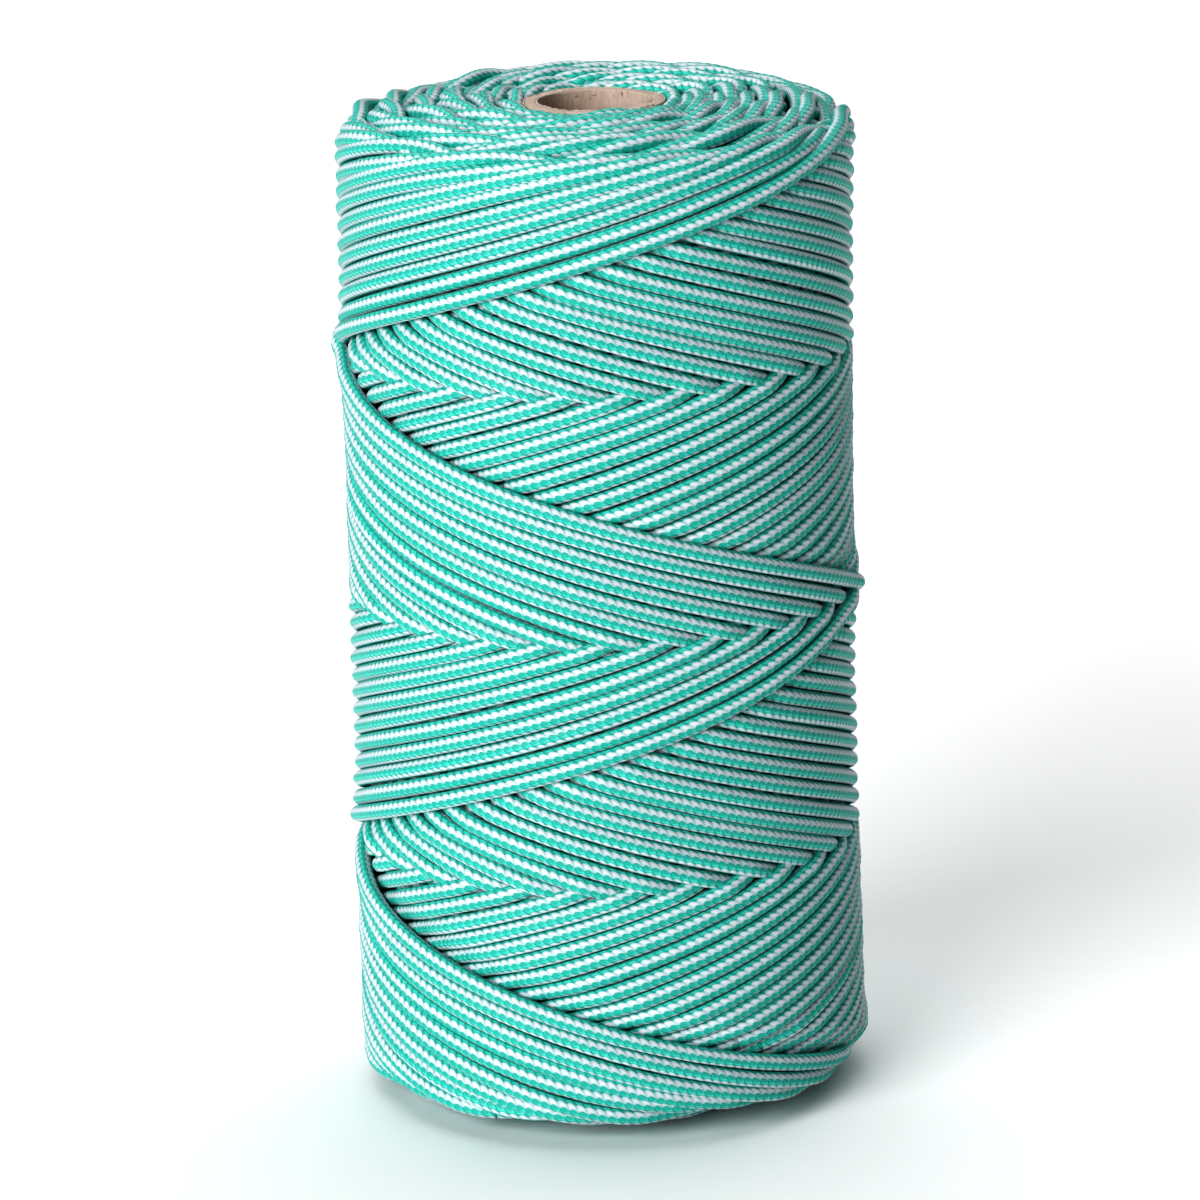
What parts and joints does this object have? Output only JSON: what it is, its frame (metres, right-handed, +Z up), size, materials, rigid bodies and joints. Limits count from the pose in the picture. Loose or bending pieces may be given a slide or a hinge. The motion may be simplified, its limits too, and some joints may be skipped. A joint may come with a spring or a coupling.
{
  "type": "cross-wound cord package",
  "caption": "Two-tone braided cord cross-wound without flanges on a plain cardboard tube, standing on end, bored through for a spindle",
  "frame": {"origin": "centre of the base that the package rests on", "axes": "+Z up along the tube; X and Y square to it, the package is round about Z"},
  "size_m": [0.118, 0.118, 0.233],
  "materials": {
    "kraft_liner": "matt spiral-wound kraft paper",
    "kraft_wall": "matt grey-brown board, cut ends",
    "kraft_face": "matt kraft paper",
    "braided_cord": "teal green and white stripes along the cord, slightly glossy synthetic yarn"
  },
  "bodies": {
    "root": {"core_tube_liner_ply": "kraft_liner", "core_tube_wall": "kraft_wall", "core_tube_face_ply": "kraft_face", "winding_pass_1": "braided_cord", "winding_pass_2": "braided_cord", "winding_pass_3": "braided_cord", "winding_pass_4": "braided_cord", "winding_pass_5": "braided_cord", "winding_pass_6": "braided_cord", "cord_inner_end": "braided_cord", "cord_outer_end": "braided_cord"}
  },
  "joints": []
}
